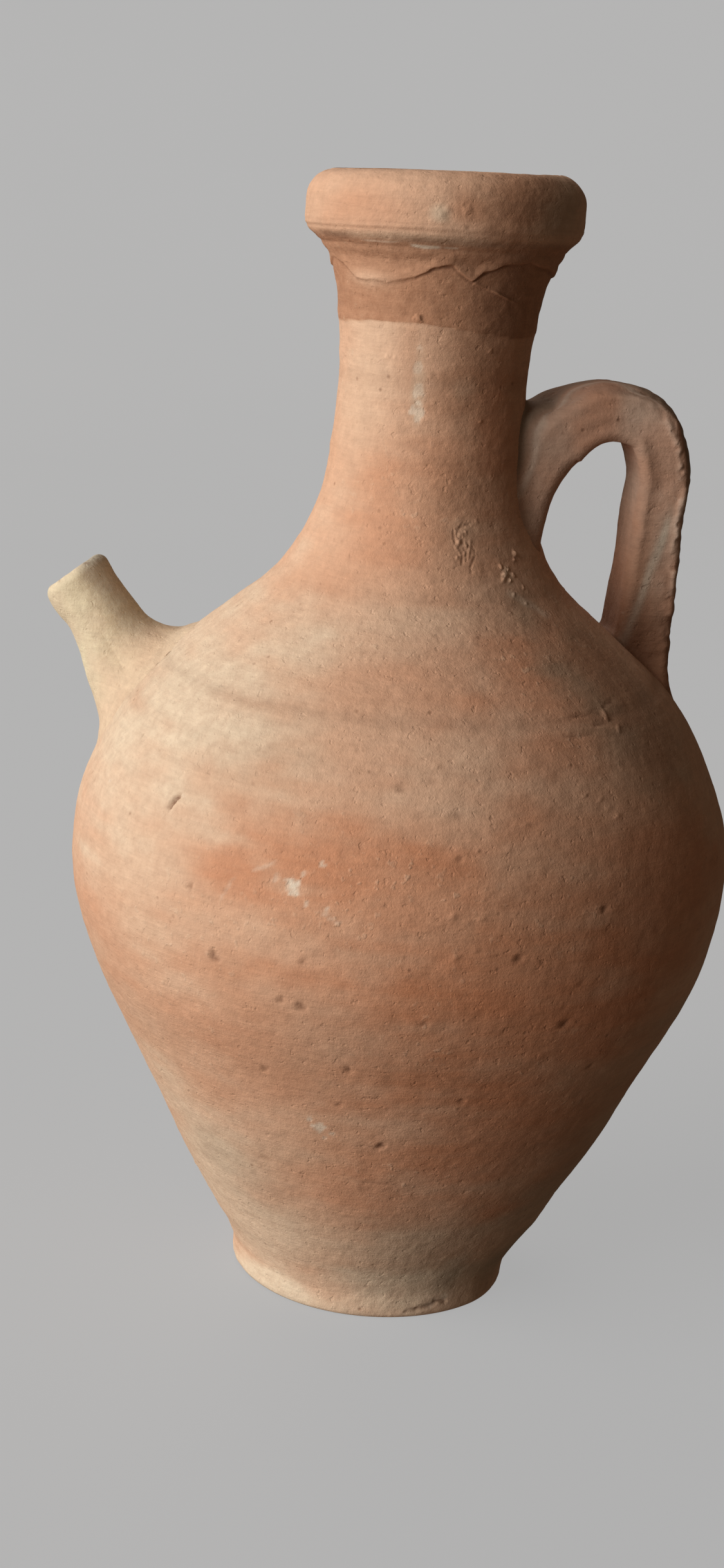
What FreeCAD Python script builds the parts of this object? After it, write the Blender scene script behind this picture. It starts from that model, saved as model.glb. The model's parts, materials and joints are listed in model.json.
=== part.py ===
import FreeCAD, Part
import Sketcher
import math
import os

# Terracotta water jug: a wheel-thrown body with a narrow thrown neck, a stubby pouring spout on the
# shoulder and a strap handle from neck to shoulder.  Every separately formed member of clay is a node.
# Millimetres, +Z up, origin at the centre of the underside, spout towards -X, handle towards +X.

doc = FreeCAD.newDocument("ceramic_pitcher")

# ---------------------------------------------------------------- driving dimensions
SIZES = {
    "wall": 6.5,
    # foot and lower wall
    "base_radius": 44.3,
    "floor_radius": 46.0,
    "floor_height": 8.0,
    "flare_radius": 53.2,
    "flare_height": 22.0,
    "flare_curve": 60.0,
    "cone_radius": 93.7,
    "cone_height": 101.0,
    # belly and shoulder
    "belly_radius": 102.6,
    "belly_height": 139.0,
    "belly_curve": 85.3,
    "shoulder_radius": 73.7,
    "shoulder_height": 203.0,
    # joint between shoulder and neck
    "joint_radius": 48.8,
    "joint_height": 224.0,
    "coil_height": 2.5,
    "coil_radius": 46.2,
    # neck
    "throat_curve": 62.0,
    "throat_radius": 29.6,
    "throat_height": 268.0,
    "waist_curve": 145.0,
    "band_radius": 29.8,
    "band_height": 306.0,
    "bore_radius": 22.8,
    # clay band under the rim
    "band_thickness": 2.2,
    "band_top_radius": 34.2,
    "rim_height": 325.0,
    "rim_seat_radius": 31.0,
    # rim
    "rim_radius": 41.5,
    "rim_bevel": 7.0,
    "rim_corner": 7.5,
    "rim_lip": 2.0,
    "mouth_radius": 31.0,
    "mouth_depth": 14.0,
    "rim_throat_radius": 25.4,
    "jug_height": 350.0,
    # spout
    "spout_length": 37.5,
    "spout_radius": 10.9,
    "spout_root_radius": 11.8,
    "spout_bore": 6.8,
    "spout_root_bore": 8.0,
    "spout_buried": 16.0,
    "spout_reach": 87.0,
    "spout_root_height": 190.3,
    "spout_elevation": 52.0,
    "spout_azimuth": 172.0,
    "spout_flare_top": 18.0,
    "spout_flare_radius": 23.0,
    "spout_flare_foot": 8.0,
    "spout_flare_curve": 70.0,
    "spout_flare_edge": 0.3,
    # handle
    "strap_width": 24.0,
    "strap_corner": 5.0,
    "strap_heading": 9.0,
    "pad_edge": 0.6,
    "neck_pad_spread": 2.6,
    "shoulder_pad_spread": 1.3,
}

sheet = doc.addObject("Spreadsheet::Sheet", "Sizes")
for row, (alias, value) in enumerate(SIZES.items(), start=1):
    sheet.set(f"A{row}", alias)
    sheet.set(f"B{row}", str(value))
    sheet.setAlias(f"B{row}", alias)
doc.recompute()


def amount(terms):
    """Value of a signed sum of cell names, such as "belly_radius - wall"."""
    total = 0.0
    sign = 1.0
    for word in terms.split():
        if word == "-":
            sign = -1.0
        elif word != "+":
            total += sign * float(sheet.get(word))
            sign = 1.0
    return total


def formula(terms):
    """The same sum as an expression that reads the sheet."""
    return " ".join(word if word in "+-" else f"Sizes.{word}" for word in terms.split())


# ---------------------------------------------------------------- sketched and revolved members
ORIGIN = (-1, 1)
V_AXIS = -2
H_AXIS = -1


def arc_centre(start, end, radius, side):
    """Centre of the short arc from start to end; side is 1 when it lies left of the way from start to end."""
    middle = (start + end) * 0.5
    chord = end - start
    reach = math.sqrt(radius ** 2 - (chord.Length / 2) ** 2)
    left = FreeCAD.Vector(-chord.y, chord.x, 0).normalize()
    return middle + left * (side * reach)


def add_edge(sketch, start, end, bend):
    """Add a line or an arc, and return its index and which of its ends is the start."""
    if bend is None:
        return sketch.addGeometry(Part.LineSegment(start, end)), 1
    curve, side = bend
    centre = arc_centre(start, end, amount(curve), side)
    first, last = (start, end) if side > 0 else (end, start)
    circle = Part.Circle(centre, FreeCAD.Vector(0, 0, 1), amount(curve))
    angles = [math.atan2(point.y - centre.y, point.x - centre.x) for point in (first, last)]
    index = sketch.addGeometry(Part.ArcOfCircle(circle, angles[0], angles[1]))
    number = sketch.addConstraint(Sketcher.Constraint("Radius", index, amount(curve)))
    sketch.setExpression(f"Constraints[{number}]", formula(curve))
    return index, 1 if side > 0 else 2


def pin(sketch, kind, terms, index, end, axis):
    """Hold one coordinate of an edge's end at its cell, or on the axis where the coordinate is nought."""
    if not terms:
        sketch.addConstraint(Sketcher.Constraint("PointOnObject", index, end, axis))
        return
    number = sketch.addConstraint(Sketcher.Constraint(kind, *ORIGIN, index, end, amount(terms)))
    sketch.setExpression(f"Constraints[{number}]", formula(terms))


def turned(name, outline):
    """A body turned about Z from an outline of (radius, height, bend to the next point)."""
    body = doc.addObject("PartDesign::Body", name)
    plane = next(item for item in body.Origin.OriginFeatures if item.Role == "XZ_Plane")
    sketch = body.newObject("Sketcher::SketchObject", f"{name}_outline")
    sketch.AttachmentSupport = [(plane, "")]
    sketch.MapMode = "FlatFace"
    points = [FreeCAD.Vector(amount(radius), amount(height), 0) for radius, height, _ in outline]
    ends = []
    for place, (_, _, bend) in enumerate(outline):
        following = points[(place + 1) % len(points)]
        ends.append(add_edge(sketch, points[place], following, bend))
    for place, (radius, height, _) in enumerate(outline):
        index, end = ends[place]
        before, before_start = ends[place - 1]
        sketch.addConstraint(Sketcher.Constraint("Coincident", before, 3 - before_start, index, end))
        pin(sketch, "DistanceX", radius, index, end, V_AXIS)
        pin(sketch, "DistanceY", height, index, end, H_AXIS)
    turn = body.newObject("PartDesign::Revolution", f"{name}_turn")
    turn.Profile = sketch
    turn.ReferenceAxis = (sketch, ["V_Axis"])
    turn.Angle = 360
    sketch.Visibility = False
    return body


OUT = 1
IN = -1

# base_disc: the thrown floor that the jug stands on
base_disc = turned("base_disc", [
    ("", "", None),
    ("base_radius", "", None),
    ("floor_radius", "floor_height", None),
    ("", "floor_height", None),
])

# lower_wall: from the floor up the cone to the widest part of the belly
lower_outside = [
    ("floor_radius", "floor_height", ("flare_curve", IN)),
    ("flare_radius", "flare_height", None),
    ("cone_radius", "cone_height", ("belly_curve", OUT)),
    ("belly_radius", "belly_height", None),
]
lower_wall = turned("lower_wall", lower_outside + [
    ("belly_radius - wall", "belly_height", ("belly_curve - wall", IN)),
    ("cone_radius - wall", "cone_height", None),
    ("flare_radius - wall", "flare_height", None),
    ("base_radius - wall", "floor_height", None),
])

# shoulder: from the widest part to the joint with the neck
shoulder_outside = [
    ("belly_radius", "belly_height", ("belly_curve", OUT)),
    ("shoulder_radius", "shoulder_height", None),
    ("joint_radius", "joint_height", None),
]
shoulder_shell = turned("shoulder_shell", shoulder_outside + [
    ("joint_radius - wall", "joint_height", None),
    ("shoulder_radius - wall", "shoulder_height", ("belly_curve - wall", IN)),
    ("belly_radius - wall", "belly_height", None),
])
shoulder_core = turned("shoulder_core", shoulder_outside + [
    ("", "joint_height", None),
    ("", "belly_height", None),
])

# neck_joint_coil: the roll of soft clay that lutes the neck on to the shoulder
neck_joint_coil = turned("neck_joint_coil", [
    ("joint_radius", "joint_height", None),
    ("coil_radius", "joint_height + coil_height", None),
    ("coil_radius - wall", "joint_height + coil_height", None),
    ("joint_radius - wall", "joint_height", None),
])

# neck: a flared thrown tube, thinner where the clay band wraps it
neck_outside = [
    ("coil_radius", "joint_height + coil_height", ("throat_curve", IN)),
    ("throat_radius", "throat_height", ("waist_curve", IN)),
    ("band_radius", "band_height", None),
]
neck = turned("neck", neck_outside + [
    ("band_radius - band_thickness", "band_height", None),
    ("rim_seat_radius", "rim_height", None),
    ("rim_throat_radius", "rim_height", None),
    ("bore_radius", "band_height", None),
    ("bore_radius", "throat_height", ("throat_curve + wall", OUT)),
    ("coil_radius - wall", "joint_height + coil_height", None),
])
neck_core = turned("neck_core", neck_outside + [
    ("", "band_height", None),
    ("", "joint_height", None),
    ("joint_radius", "joint_height", None),
])

# neck_band: the darker collar of slip-wet clay below the rim
neck_band = turned("neck_band", [
    ("band_radius - band_thickness", "band_height", None),
    ("band_radius", "band_height", None),
    ("band_top_radius", "rim_height", None),
    ("rim_seat_radius", "rim_height", None),
])

# rim_ring: the thick squared roll round the mouth
rim_ring = turned("rim_ring", [
    ("rim_throat_radius", "rim_height", None),
    ("band_top_radius", "rim_height", None),
    ("rim_radius", "rim_height + rim_bevel", None),
    ("rim_radius", "jug_height - rim_corner", ("rim_corner", OUT)),
    ("rim_radius - rim_corner", "jug_height", None),
    ("mouth_radius + rim_lip", "jug_height", ("rim_lip", OUT)),
    ("mouth_radius", "jug_height - rim_lip", None),
    ("mouth_radius", "jug_height - mouth_depth", None),
])


def joined(kind, name, base, tool):
    """A boolean of two objects, named after the piece that it makes."""
    piece = doc.addObject(f"Part::{kind}", name)
    piece.Base = base
    piece.Tool = tool
    return piece


# ---------------------------------------------------------------- spout
def stand_on_shoulder(body):
    """Stand a body that was turned about Z on the shoulder, along the spout's slanting axis."""
    azimuth = math.radians(amount("spout_azimuth"))
    tilt_axis = FreeCAD.Vector(-math.sin(azimuth), math.cos(azimuth), 0)
    body.Placement = FreeCAD.Placement(FreeCAD.Vector(), FreeCAD.Rotation(tilt_axis, 0))
    body.setExpression("Placement.Base.x", "Sizes.spout_reach * cos(Sizes.spout_azimuth * 1 deg)")
    body.setExpression("Placement.Base.y", "Sizes.spout_reach * sin(Sizes.spout_azimuth * 1 deg)")
    body.setExpression("Placement.Base.z", "Sizes.spout_root_height")
    body.setExpression("Placement.Rotation.Angle", "90 deg - Sizes.spout_elevation * 1 deg")


spout_outside = [
    ("spout_root_radius", "- spout_buried", None),
    ("spout_root_radius", "spout_flare_foot", None),
    ("spout_radius", "spout_flare_top", None),
    ("spout_radius", "spout_length", None),
]
spout_tube = turned("spout_tube", spout_outside + [
    ("spout_bore", "spout_length", None),
    ("spout_bore", "spout_flare_top", None),
    ("spout_root_bore", "- spout_buried", None),
])
spout_solid = turned("spout_solid", spout_outside + [
    ("", "spout_length", None),
    ("", "- spout_buried", None),
])
spout_channel = turned("spout_channel", [
    ("", "spout_flare_top", None),
    ("spout_bore", "spout_flare_top", None),
    ("spout_root_bore", "- spout_buried", None),
    ("", "- spout_buried", None),
])
spout_flare = turned("spout_flare", [
    ("", "- spout_flare_foot", None),
    ("spout_flare_radius", "- spout_flare_foot", ("spout_flare_curve", IN)),
    ("spout_radius + spout_flare_edge", "spout_flare_top", None),
    ("", "spout_flare_top", None),
])
for body in (spout_tube, spout_solid, spout_channel, spout_flare):
    stand_on_shoulder(body)

shoulder = joined("Cut", "shoulder", shoulder_shell, spout_channel)
spout = joined("Cut", "spout", spout_tube, shoulder_core)
spout_skirt = joined("Cut", "spout_skirt", spout_flare, shoulder_core)
spout_coil = joined("Cut", "spout_coil", spout_skirt, spout_solid)

# ---------------------------------------------------------------- handle
# The strap's middle line, from inside the neck over the arch and down into the shoulder:
# (across, back, up, thickness).
STRAP_COURSE = [
    (20.0, 2.0, 258.0, 22.0),
    (32.0, 3.0, 271.0, 19.0),
    (43.0, 4.5, 279.5, 18.0),
    (55.0, 6.5, 283.0, 17.5),
    (65.7, 8.5, 278.0, 16.5),
    (70.5, 11.0, 265.5, 16.5),
    (70.7, 14.0, 250.0, 16.8),
    (70.2, 18.0, 230.0, 17.0),
    (69.0, 23.5, 207.0, 18.0),
    (67.0, 28.0, 188.0, 20.0),
]


LOFT_DEGREE = 3


def strap_section(centre, along, width, thickness):
    """A rounded rectangle square to the strap's run."""
    heading = math.radians(amount("strap_heading"))
    across = FreeCAD.Vector(-math.sin(heading), math.cos(heading), 0)
    across = (across - along * across.dot(along)).normalize()
    outward = along.cross(across).normalize()
    corner = amount("strap_corner")
    half_width = width / 2
    half_thickness = thickness / 2

    def at(sideways, out):
        return centre + across * sideways + outward * out

    edges = []
    slack = corner * (1 - math.sqrt(0.5))
    quarter = [(1, 1), (-1, 1), (-1, -1), (1, -1)]
    for place, (side, face) in enumerate(quarter):
        next_side, next_face = quarter[(place + 1) % 4]
        level = (half_width * side, (half_thickness - corner) * face)
        upright = ((half_width - corner) * side, half_thickness * face)
        first, last = (level, upright) if place % 2 == 0 else (upright, level)
        middle = ((half_width - slack) * side, (half_thickness - slack) * face)
        edges.append(Part.Arc(at(*first), at(*middle), at(*last)).toShape())
        if place % 2 == 0:
            following = ((half_width - corner) * next_side, half_thickness * next_face)
        else:
            following = (half_width * next_side, (half_thickness - corner) * next_face)
        edges.append(Part.LineSegment(at(*last), at(*following)).toShape())
    return Part.Wire(edges)


def strap_between(name, first, last, spreads):
    """A loft through the strap's sections from one place on its course to another."""
    line = Part.BSplineCurve()
    line.interpolate([FreeCAD.Vector(across, back, up) for across, back, up, _ in STRAP_COURSE])
    knots = line.getKnots()
    sections = []
    for place in range(first, last + 1):
        spread = spreads[place - first]
        centre = line.value(knots[place])
        along = line.tangent(knots[place])[0]
        width = amount("strap_width") + 2 * spread
        thickness = STRAP_COURSE[place][3] + 2 * spread
        sections.append(strap_section(centre, along, width, thickness))
    piece = doc.addObject("Part::Feature", name)
    piece.Shape = Part.makeLoft(sections, True, False, False, LOFT_DEGREE)
    piece.Placement = FreeCAD.Placement()
    return piece


jug_core = joined("Fuse", "jug_core", neck_core, shoulder_core)
last_place = len(STRAP_COURSE) - 1
strap_blank = strap_between("strap_blank", 0, last_place, [0.0] * len(STRAP_COURSE))
handle_strap = joined("Cut", "handle_strap", strap_blank, jug_core)


def pad(name, first, last, spreads):
    """The thumbed-on clay round one root of the strap."""
    blank = strap_between(f"{name}_blank", first, last, spreads)
    skirt = joined("Cut", f"{name}_skirt", blank, jug_core)
    return joined("Cut", name, skirt, strap_blank)


edge = amount("pad_edge")
neck_spread = amount("neck_pad_spread")
shoulder_spread = amount("shoulder_pad_spread")
neck_pad = pad("neck_pad", 0, 2, [2 * neck_spread, neck_spread, edge])
shoulder_pad = pad("shoulder_pad", last_place - 2, last_place, [edge, shoulder_spread, 2 * shoulder_spread])

# ---------------------------------------------------------------- checks and files
NODES = [
    base_disc,
    lower_wall,
    shoulder,
    neck_joint_coil,
    neck,
    neck_band,
    rim_ring,
    spout,
    spout_coil,
    handle_strap,
    neck_pad,
    shoulder_pad,
]
for node in NODES:
    node.Label = node.Name

doc.recompute()
for item in doc.Objects:
    faults = [state for state in item.State if state in ("Invalid", "Error")]
    if faults:
        raise RuntimeError(f"{item.Name} did not rebuild: {faults}")
for node in NODES:
    if node.Shape.isNull() or not node.Shape.isValid() or not node.Shape.Solids:
        raise RuntimeError(f"{node.Name} has no valid solid")

os.makedirs("parts", exist_ok=True)
for node in NODES:
    node.Shape.exportStep(f"parts/{node.Label}.step")
    print(f"{node.Label}: {len(node.Shape.Solids)} solid, {node.Shape.Volume / 1000:.1f} cm3")
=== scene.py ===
import json
import math

import bpy
import numpy as np
from mathutils import Matrix, Vector


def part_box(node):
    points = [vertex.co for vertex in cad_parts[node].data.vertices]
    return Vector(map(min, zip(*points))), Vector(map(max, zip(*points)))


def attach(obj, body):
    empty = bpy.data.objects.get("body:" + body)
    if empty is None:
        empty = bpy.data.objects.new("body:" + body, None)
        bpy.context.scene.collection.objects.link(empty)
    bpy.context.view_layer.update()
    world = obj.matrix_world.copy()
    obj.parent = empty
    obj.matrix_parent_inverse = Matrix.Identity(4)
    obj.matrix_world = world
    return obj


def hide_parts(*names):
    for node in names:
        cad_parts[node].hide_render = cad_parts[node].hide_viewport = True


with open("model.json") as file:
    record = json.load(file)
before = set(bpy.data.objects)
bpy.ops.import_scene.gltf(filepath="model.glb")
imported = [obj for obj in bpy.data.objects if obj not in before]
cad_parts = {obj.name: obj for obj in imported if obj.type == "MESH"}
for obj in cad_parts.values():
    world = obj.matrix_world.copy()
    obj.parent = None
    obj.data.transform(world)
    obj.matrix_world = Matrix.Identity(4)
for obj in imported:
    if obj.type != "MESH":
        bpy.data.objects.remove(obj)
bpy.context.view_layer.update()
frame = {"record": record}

# Hand-thrown terracotta water jug.  Lengths below are in millimetres until a mesh is made, where they
# are turned into metres.  Azimuths are in degrees about +Z: 0 at the handle, -90 at the camera's side
# and 180 at the spout.
MM = 0.001
COLUMNS = 640
QUICK_STEP = 1.0


# ---- sizes read from the frame
def low(node, axis):
    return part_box(node)[0][axis] / MM


def high(node, axis):
    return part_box(node)[1][axis] / MM


def mount(name):
    return next(item for item in frame["record"]["mounts"] if item["name"] == name)


X, Z = 0, 2
FLOOR_HEIGHT = high("base_disc", Z)
BAND_HEIGHT = low("neck_band", Z)
RIM_HEIGHT = low("rim_ring", Z)
RIM_RADIUS = high("rim_ring", X)
JUG_HEIGHT = high("rim_ring", Z)
MOUTH_RADIUS = mount("mouth")["dims"]["r_mm"]
SPOUT_BORE = mount("spout_mouth")["dims"]["r_mm"]
SPOUT_AXIS = np.array(mount("spout_mouth")["axis"])
SPOUT_BORE_MIDDLE = np.array(mount("spout_mouth")["pos_m"]) / MM
WALL = 6.5


# ---- numbers that look random but repeat
# The last number of each noise call, its seed, only picks a pattern of its own.
def lattice(cell, seed):
    """A number from 0 to 1 for each whole-number place in space."""
    mixed = cell[..., 0] * np.uint32(73856093)
    mixed ^= cell[..., 1] * np.uint32(19349663)
    mixed ^= cell[..., 2] * np.uint32(83492791)
    mixed ^= np.uint32(seed * 7919 + 101)
    mixed = (mixed ^ (mixed >> np.uint32(13))) * np.uint32(1274126177)
    mixed ^= mixed >> np.uint32(16)
    return (mixed & np.uint32(0xFFFF)).astype(float) / 65535


def noise(points, size, seed):
    """Smooth noise from -1 to 1 with features about size across."""
    scaled = points / size + 512.37
    cell = np.floor(scaled)
    part = scaled - cell
    part = part * part * part * (part * (part * 6 - 15) + 10)
    cell = cell.astype(np.int64).astype(np.uint32)
    total = np.zeros(points.shape[:-1])
    for corner in range(8):
        step = np.array([corner & 1, corner >> 1 & 1, corner >> 2], dtype=np.uint32)
        share = np.prod(np.where(step == 1, part, 1 - part), axis=-1)
        total += share * lattice(cell + step, seed)
    return total * 2 - 1


def fractal(points, size, octaves, seed, gain=0.5):
    """Noise with finer and weaker layers added."""
    total = np.zeros(points.shape[:-1])
    for octave in range(octaves):
        total += gain ** octave * noise(points, size / 2 ** octave, seed + octave)
    return total


def unit(vectors, least=1e-9):
    """Vectors brought to length 1, or shorter where they were below least."""
    return vectors / np.maximum(np.linalg.norm(vectors, axis=-1, keepdims=True), least)


def smooth(value, start, end):
    """0 at start, 1 at end, and an easy curve between."""
    part = np.clip((value - start) / (end - start), 0, 1)
    return part * part * (3 - 2 * part)


def fade(value, start, end):
    """1 at start, 0 at end, and an easy curve between."""
    return 1 - smooth(value, start, end)


def bell(value, middle, width):
    """1 at a middle value, falling to 0 on both sides."""
    return np.exp(-((value - middle) / width) ** 2)


def degrees_from(azimuth, centre):
    """The way round from a centre azimuth, from -180 to 180."""
    return (azimuth - centre + 180) % 360 - 180


def around(azimuth, centre, spread):
    """1 at a centre azimuth, falling to 0 a spread away, in degrees."""
    return fade(np.abs(degrees_from(azimuth, centre)), 0, spread)


# ---- outline of the thrown body
def arc(start, end, radius, side, count=60):
    """Points of the short arc from start to end; side is 1 where its centre lies left of the way."""
    start = np.array(start, float)
    end = np.array(end, float)
    chord = end - start
    length = np.hypot(*chord)
    reach = math.sqrt(radius ** 2 - length ** 2 / 4)
    centre = (start + end) / 2 + np.array([-chord[1], chord[0]]) / length * side * reach
    first = math.atan2(start[1] - centre[1], start[0] - centre[0])
    last = math.atan2(end[1] - centre[1], end[0] - centre[0])
    turn = (last - first + math.pi) % (2 * math.pi) - math.pi
    angles = first + turn * np.linspace(0, 1, count)
    return [tuple(centre + radius * np.array([math.cos(a), math.sin(a)])) for a in angles]


BULGE = 1
HOLLOW = -1
FOOT = (44.6, 0.0)
FOOT_TOP = (45.9, 1.2)
FLARE = (53.2, 22.0)
CONE_TOP = (93.7, 101.0)
SHOULDER = (73.7, 203.0)
THROAT = (29.6, 268.0)
BAND = (29.8, BAND_HEIGHT)
FLARE_CURVE = 60.0
BELLY_CURVE = 85.3
THROAT_CURVE = 62.0
NECK_CURVE = 145.0
ROLL_CURVE = 7.5
CENTRE = 0.4
INNER_FLOOR = 37.8
BORE = 22.8
RIM_BORE = 25.4
FLOOR_EDGE = (high("base_disc", X), FLOOR_HEIGHT)
BELLY = (high("lower_wall", X), high("lower_wall", Z))
JOINT = (high("neck_joint_coil", X), high("shoulder", Z))
COIL_TOP = (high("neck", X), low("neck", Z))
BAND_TOP = (high("neck_band", X) - 0.5, RIM_HEIGHT)


def inward(point):
    return (point[0] - WALL, point[1])


OUTSIDE = {
    "base_disc": [(CENTRE, 0.0), FOOT] + arc(FOOT, FOOT_TOP, 1.3, BULGE, 10) + [FLOOR_EDGE],
    "lower_wall": arc(FLOOR_EDGE, FLARE, FLARE_CURVE, HOLLOW) + arc(CONE_TOP, BELLY, BELLY_CURVE, BULGE),
    "shoulder": arc(BELLY, SHOULDER, BELLY_CURVE, BULGE) + [JOINT],
    "neck_joint_coil": [JOINT, COIL_TOP],
    "neck": arc(COIL_TOP, THROAT, THROAT_CURVE, HOLLOW) + arc(THROAT, BAND, NECK_CURVE, HOLLOW),
    "neck_band": arc(BAND, BAND_TOP, FLARE_CURVE, HOLLOW),
    "rim_ring": (
        [BAND_TOP]
        + arc((35.2, 326.4), (RIM_RADIUS - 1.6, 331.4), 12.0, HOLLOW, 12)
        + arc((RIM_RADIUS - 1.2, 332.0), (RIM_RADIUS, 335.4), 5.0, BULGE, 10)
        + arc((RIM_RADIUS, JUG_HEIGHT - ROLL_CURVE), (RIM_RADIUS - ROLL_CURVE, JUG_HEIGHT),
              ROLL_CURVE, BULGE, 24)
        + arc((MOUTH_RADIUS + 2.5, JUG_HEIGHT), (MOUTH_RADIUS, JUG_HEIGHT - 3.0), 2.8, BULGE, 14)
        + [(MOUTH_RADIUS, JUG_HEIGHT - 13.0), (RIM_BORE, RIM_HEIGHT)]
    ),
}
INSIDE = {
    "base_disc": [(INNER_FLOOR, FLOOR_HEIGHT), (CENTRE, FLOOR_HEIGHT)],
    "lower_wall": (
        arc(inward(BELLY), inward(CONE_TOP), BELLY_CURVE - WALL, HOLLOW)
        + [inward(FLARE), (INNER_FLOOR, FLOOR_HEIGHT)]
    ),
    "shoulder": [inward(JOINT)] + arc(inward(SHOULDER), inward(BELLY), BELLY_CURVE - WALL, HOLLOW),
    "neck_joint_coil": [inward(COIL_TOP), inward(JOINT)],
    "neck": [(BORE, BAND_HEIGHT)] + arc((BORE, THROAT[1]), inward(COIL_TOP), THROAT_CURVE + WALL, BULGE),
    "neck_band": [(RIM_BORE, RIM_HEIGHT), (BORE, BAND_HEIGHT)],
}
WALL_PIECES = list(OUTSIDE)
# Row spacing in mm outside, inside and while tracing, and how far the outline's kinks are eased.
ROW_STEP = {"base_disc": 0.8, "lower_wall": 1.2, "shoulder": 0.9, "neck_joint_coil": 0.6,
            "neck": 0.7, "neck_band": 0.36, "rim_ring": 0.44}
INNER_STEP = 8.0
TRACE_STEP = 0.2
SOFTENING = 0.8


def paced(line, count, endpoint=True):
    """Evenly spaced points along a line of points, and how far along each lies."""
    way = np.r_[0, np.cumsum(np.linalg.norm(np.diff(line[:, :3], axis=0), axis=1))]
    if callable(count):
        count = count(way[-1])
    places = np.linspace(0, way[-1], count, endpoint=endpoint)
    return np.stack([np.interp(places, way, column) for column in line.T], axis=-1), places


def resampled(points, step):
    """Points about a step apart along a line of (radius, height) points."""
    line = np.array(points, float)
    line = line[np.r_[True, np.hypot(*np.diff(line, axis=0).T) > 1e-6]]
    return paced(line, lambda length: max(2, int(round(length / step)) + 1))[0]


def softened(line, reach):
    """The line with its kinks eased over about reach points, and its ends kept."""
    span = int(4 * reach)
    weights = np.exp(-0.5 * (np.arange(-span, span + 1) / reach) ** 2)
    weights /= weights.sum()
    before = 2 * line[0] - line[1:span + 1][::-1]
    after = 2 * line[-1] - line[-span - 1:-1][::-1]
    padded = np.vstack([before, line, after])
    return np.stack([np.convolve(padded[:, axis], weights, "valid") for axis in (0, 1)], axis=-1)


def outside_line():
    """The whole outside as one softened line, with each member's first and last row in it."""
    traced = [resampled(OUTSIDE[name], TRACE_STEP) for name in WALL_PIECES]
    ends = np.cumsum([len(line) - 1 for line in traced])
    whole = np.vstack([traced[0]] + [line[1:] for line in traced[1:]])
    whole = softened(whole, SOFTENING / TRACE_STEP)
    rows, spans, start = [whole[:1]], {}, 0
    for name, end in zip(WALL_PIECES, ends):
        part = resampled(whole[start:end + 1], ROW_STEP[name] * QUICK_STEP)
        first = sum(map(len, rows)) - 1
        rows.append(part[1:])
        spans[name] = (first, first + len(part) - 1)
        start = end
    line = np.vstack(rows)
    line[:, 1] = np.maximum(line[:, 1], 0)
    return line, spans


outer_line, outer_rows = outside_line()
rising = outer_line[:np.argmax(outer_line[:, 1]) + 1]
rising = rising[rising[:, 1] > 0.01]


def wall_radius(height):
    """Radius of the outside at a height."""
    return np.interp(height, rising[:, 1], rising[:, 0])


def wall_slope(height):
    """How fast the outside's radius grows with height."""
    return (wall_radius(height + 1) - wall_radius(height - 1)) / 2


def wall_distance(points):
    """How far points lie outside the wall, measured square to it."""
    height = points[..., 2]
    gap = np.hypot(points[..., 0], points[..., 1]) - wall_radius(height)
    return gap / np.sqrt(1 + wall_slope(height) ** 2)


def wall_normal(points):
    """Outward direction of the wall beside each point."""
    radial = unit(points[..., :2], 1e-6)
    return unit(np.concatenate([radial, -wall_slope(points[..., 2])[..., None]], axis=-1))


def on_wall(azimuth, height):
    """A point on the outside, with the level and the rising direction along the wall there."""
    angle = math.radians(azimuth)
    point = np.array([math.cos(angle), math.sin(angle), 0]) * wall_radius(height)
    point[2] = height
    level = np.array([-math.sin(angle), math.cos(angle), 0])
    rise = np.cross(wall_normal(point), level)
    return point, level, rise


# ---- marks left by making, wear and soil, and painted shade and light
rng = np.random.default_rng(41)

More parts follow.
